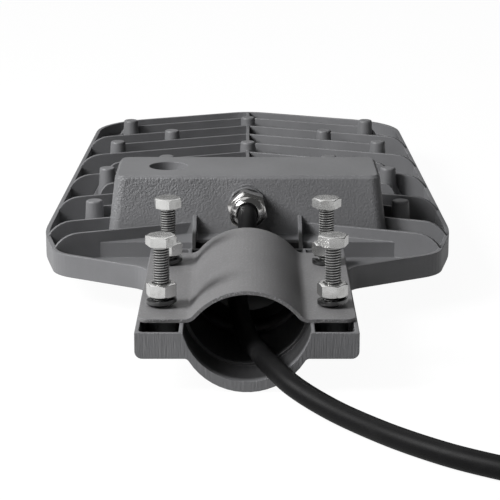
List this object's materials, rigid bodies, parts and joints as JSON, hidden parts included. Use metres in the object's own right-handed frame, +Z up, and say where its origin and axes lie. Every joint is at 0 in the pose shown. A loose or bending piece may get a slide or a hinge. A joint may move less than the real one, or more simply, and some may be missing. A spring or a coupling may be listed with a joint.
{
  "type": "pole-mounted led area light",
  "caption": "Flat die-cast LED area light head with cooling fins, a driver box and a half-round bolted clamp for a horizontal pole end, with its supply cable.",
  "frame": {"origin": "on the axis of the pole trough, in the plane of its mouth", "axes": "+Y along the pole axis from the mouth towards the tip of the head, +Z up, away from the lenses, +X to the right seen from the mouth"},
  "size_m": [0.2968, 0.6803, 0.0646],
  "materials": {
    "cast_grey": "die-cast aluminium with a grey textured powder coat",
    "sheet_grey": "pressed sheet with a grey powder coat",
    "zinc_steel": "zinc plated steel",
    "stainless": "stainless steel",
    "nickel_brass": "nickel plated brass",
    "black_rubber": "black rubber",
    "cable_rubber": "matt black rubber sheath",
    "core_brown": "brown wire insulation",
    "core_blue": "blue wire insulation",
    "core_green": "green wire insulation with a yellow stripe",
    "lead_red": "red silicone wire insulation",
    "lead_grey": "grey wire insulation",
    "white_plastic": "moulded insulating plastic",
    "driver_case": "plain aluminium case",
    "grey_silicone": "moulded silicone",
    "board_white": "white solder resist on an aluminium board",
    "led_yellow": "phosphor on a white ceramic package",
    "lens_clear": "clear moulded optic"
  },
  "bodies": {
    "housing": {"housing": "cast_grey", "clamp_bolts": "zinc_steel", "gland_body": "nickel_brass", "gland_cap": "nickel_brass", "gland_seal": "black_rubber", "gland_o_ring": "black_rubber", "gland_locknut": "nickel_brass", "cable": "cable_rubber", "cable_inner": "cable_rubber", "tail_core_brown": "core_brown", "tail_core_blue": "core_blue", "tail_core_earth": "core_green", "mains_core_brown": "core_brown", "mains_core_blue": "core_blue", "mains_core_earth": "core_green", "terminal_block": "white_plastic", "terminal_screw": "zinc_steel", "led_driver": "driver_case", "driver_screws": "zinc_steel", "driver_leads": "lead_grey", "led_lead_red": "lead_red", "led_lead_black": "black_rubber", "board_link": "lead_red", "driver_cover": "sheet_grey", "cover_gasket": "grey_silicone", "cover_screws": "stainless", "led_board_left": "board_white", "led_board_right": "board_white", "leds_left": "led_yellow", "leds_right": "led_yellow", "board_screws": "stainless", "lens_left": "lens_clear", "lens_right": "lens_clear", "lens_gasket": "grey_silicone", "lens_frame": "cast_grey", "frame_screws": "stainless"},
    "saddle": {"saddle": "sheet_grey", "spring_washers": "zinc_steel"},
    "nut_front_left": {"nut_front_left": "zinc_steel"},
    "nut_front_right": {"nut_front_right": "zinc_steel"},
    "nut_rear_left": {"nut_rear_left": "zinc_steel"},
    "nut_rear_right": {"nut_rear_right": "zinc_steel"}
  },
  "joints": [
    {"name": "saddle_lift", "type": "slide", "parent": "housing", "child": "saddle", "axis": [0, 0, 1], "range_m": [0, 0.0175]},
    {"name": "nut_front_left_spin", "type": "hinge", "parent": "saddle", "child": "nut_front_left", "pos_m": [-0.0404, 0.039, 0], "axis": [0, 0, 1], "range_deg": [0, 5040]},
    {"name": "nut_front_right_spin", "type": "hinge", "parent": "saddle", "child": "nut_front_right", "pos_m": [0.0404, 0.039, 0], "axis": [0, 0, 1], "range_deg": [0, 5040]},
    {"name": "nut_rear_left_spin", "type": "hinge", "parent": "saddle", "child": "nut_rear_left", "pos_m": [-0.0404, 0.1164, 0], "axis": [0, 0, 1], "range_deg": [0, 5040]},
    {"name": "nut_rear_right_spin", "type": "hinge", "parent": "saddle", "child": "nut_rear_right", "pos_m": [0.0404, 0.1164, 0], "axis": [0, 0, 1], "range_deg": [0, 5040]}
  ],
  "couplings": [
    {"joint": "nut_front_left_spin", "follows": "saddle_lift", "rad_per_m": 5026.5},
    {"joint": "nut_front_right_spin", "follows": "saddle_lift", "rad_per_m": 5026.5},
    {"joint": "nut_rear_left_spin", "follows": "saddle_lift", "rad_per_m": 5026.5},
    {"joint": "nut_rear_right_spin", "follows": "saddle_lift", "rad_per_m": 5026.5}
  ]
}
